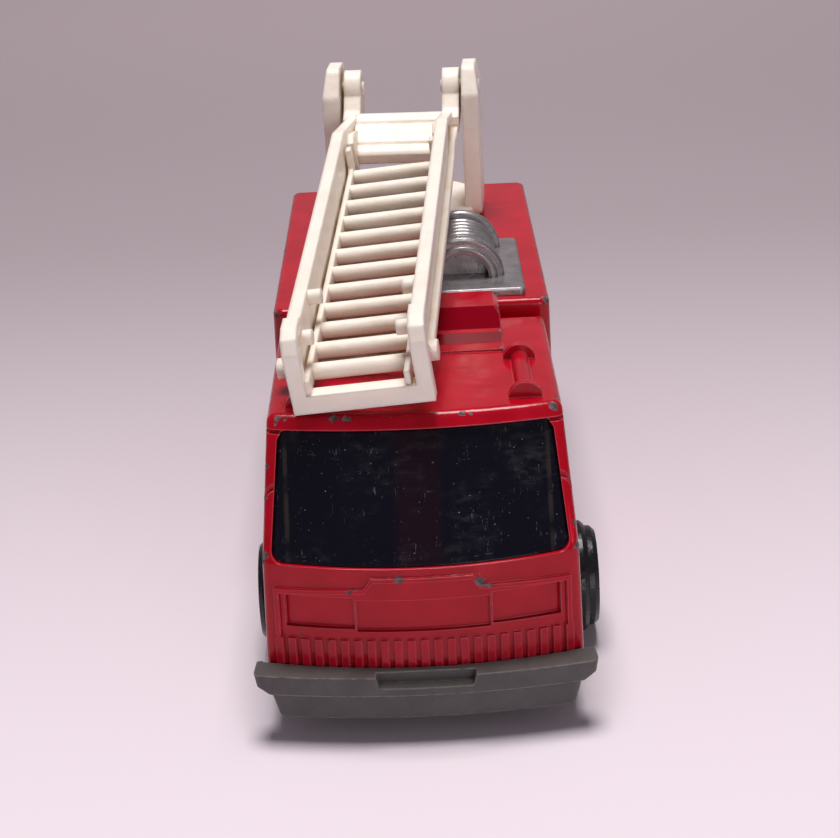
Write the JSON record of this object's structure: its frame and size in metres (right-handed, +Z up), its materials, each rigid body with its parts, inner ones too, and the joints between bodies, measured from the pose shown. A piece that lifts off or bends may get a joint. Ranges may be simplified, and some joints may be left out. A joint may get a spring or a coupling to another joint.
{
  "type": "toy fire engine",
  "caption": "Small die-cast toy fire engine with a turntable, a lifting two-stage ladder, hose reels, dark windows and free-rolling wheels",
  "frame": {"origin": "on the ground, under the middle of the bounding box", "axes": "+Z up, the front of the engine faces -Y, +X is the engine's own left-hand side"},
  "size_m": [0.0324, 0.0772, 0.0443],
  "materials": {
    "red_enamel": "gloss",
    "grey_base": "satin",
    "smoked_plastic": "gloss, dark smoked clear plastic",
    "silver_plastic": "vacuum-plated silver, worn",
    "steel": "satin",
    "black_wheel": "gloss",
    "dark_plastic": "satin",
    "white_plastic": "satin, slightly yellowed"
  },
  "bodies": {
    "chassis": {"body_casting": "red_enamel", "glazing": "smoked_plastic", "base_plate": "grey_base", "hose_reel_insert": "silver_plastic", "axle_strip": "dark_plastic", "front_rivet": "steel", "rear_rivet": "steel"},
    "front_axle_body": {"front_axle": "steel"},
    "rear_axle_body": {"rear_axle": "steel"},
    "front_left_wheel": {"wheel_front_left": "black_wheel"},
    "front_right_wheel": {"wheel_front_right": "black_wheel"},
    "rear_left_wheel": {"wheel_rear_left": "black_wheel"},
    "rear_right_wheel": {"wheel_rear_right": "black_wheel"},
    "turntable_body": {"turntable": "white_plastic", "turntable_washer": "steel", "turntable_rivet": "steel", "left_pivot_pin": "white_plastic", "right_pivot_pin": "white_plastic"},
    "ladder": {"ladder_lower": "white_plastic"},
    "extension": {"ladder_extension": "white_plastic"}
  },
  "joints": [
    {"name": "front_axle_spin", "type": "hinge", "parent": "chassis", "child": "front_axle_body", "pos_m": [0, -0.0193, 0.0052], "axis": [1, 0, 0], "continuous": true},
    {"name": "rear_axle_spin", "type": "hinge", "parent": "chassis", "child": "rear_axle_body", "pos_m": [0, 0.0206, 0.0052], "axis": [1, 0, 0], "continuous": true},
    {"name": "front_left_wheel_spin", "type": "hinge", "parent": "front_axle_body", "child": "front_left_wheel", "pos_m": [0, -0.0193, 0.0052], "axis": [1, 0, 0], "continuous": true},
    {"name": "front_right_wheel_spin", "type": "hinge", "parent": "front_axle_body", "child": "front_right_wheel", "pos_m": [0, -0.0193, 0.0052], "axis": [1, 0, 0], "continuous": true},
    {"name": "rear_left_wheel_spin", "type": "hinge", "parent": "rear_axle_body", "child": "rear_left_wheel", "pos_m": [0, 0.0206, 0.0052], "axis": [1, 0, 0], "continuous": true},
    {"name": "rear_right_wheel_spin", "type": "hinge", "parent": "rear_axle_body", "child": "rear_right_wheel", "pos_m": [0, 0.0206, 0.0052], "axis": [1, 0, 0], "continuous": true},
    {"name": "turntable_spin", "type": "hinge", "parent": "chassis", "child": "turntable_body", "pos_m": [0, 0.0271, 0.028], "axis": [0, 0, 1], "continuous": true},
    {"name": "ladder_lift", "type": "hinge", "parent": "turntable_body", "child": "ladder", "pos_m": [0, 0.0271, 0.0417], "axis": [-0.9967, 0.0811, 0], "range_deg": [0, 75]},
    {"name": "ladder_extend", "type": "slide", "parent": "ladder", "child": "extension", "axis": [-0.0801, -0.9846, -0.1556], "range_m": [0, 0.03]}
  ]
}
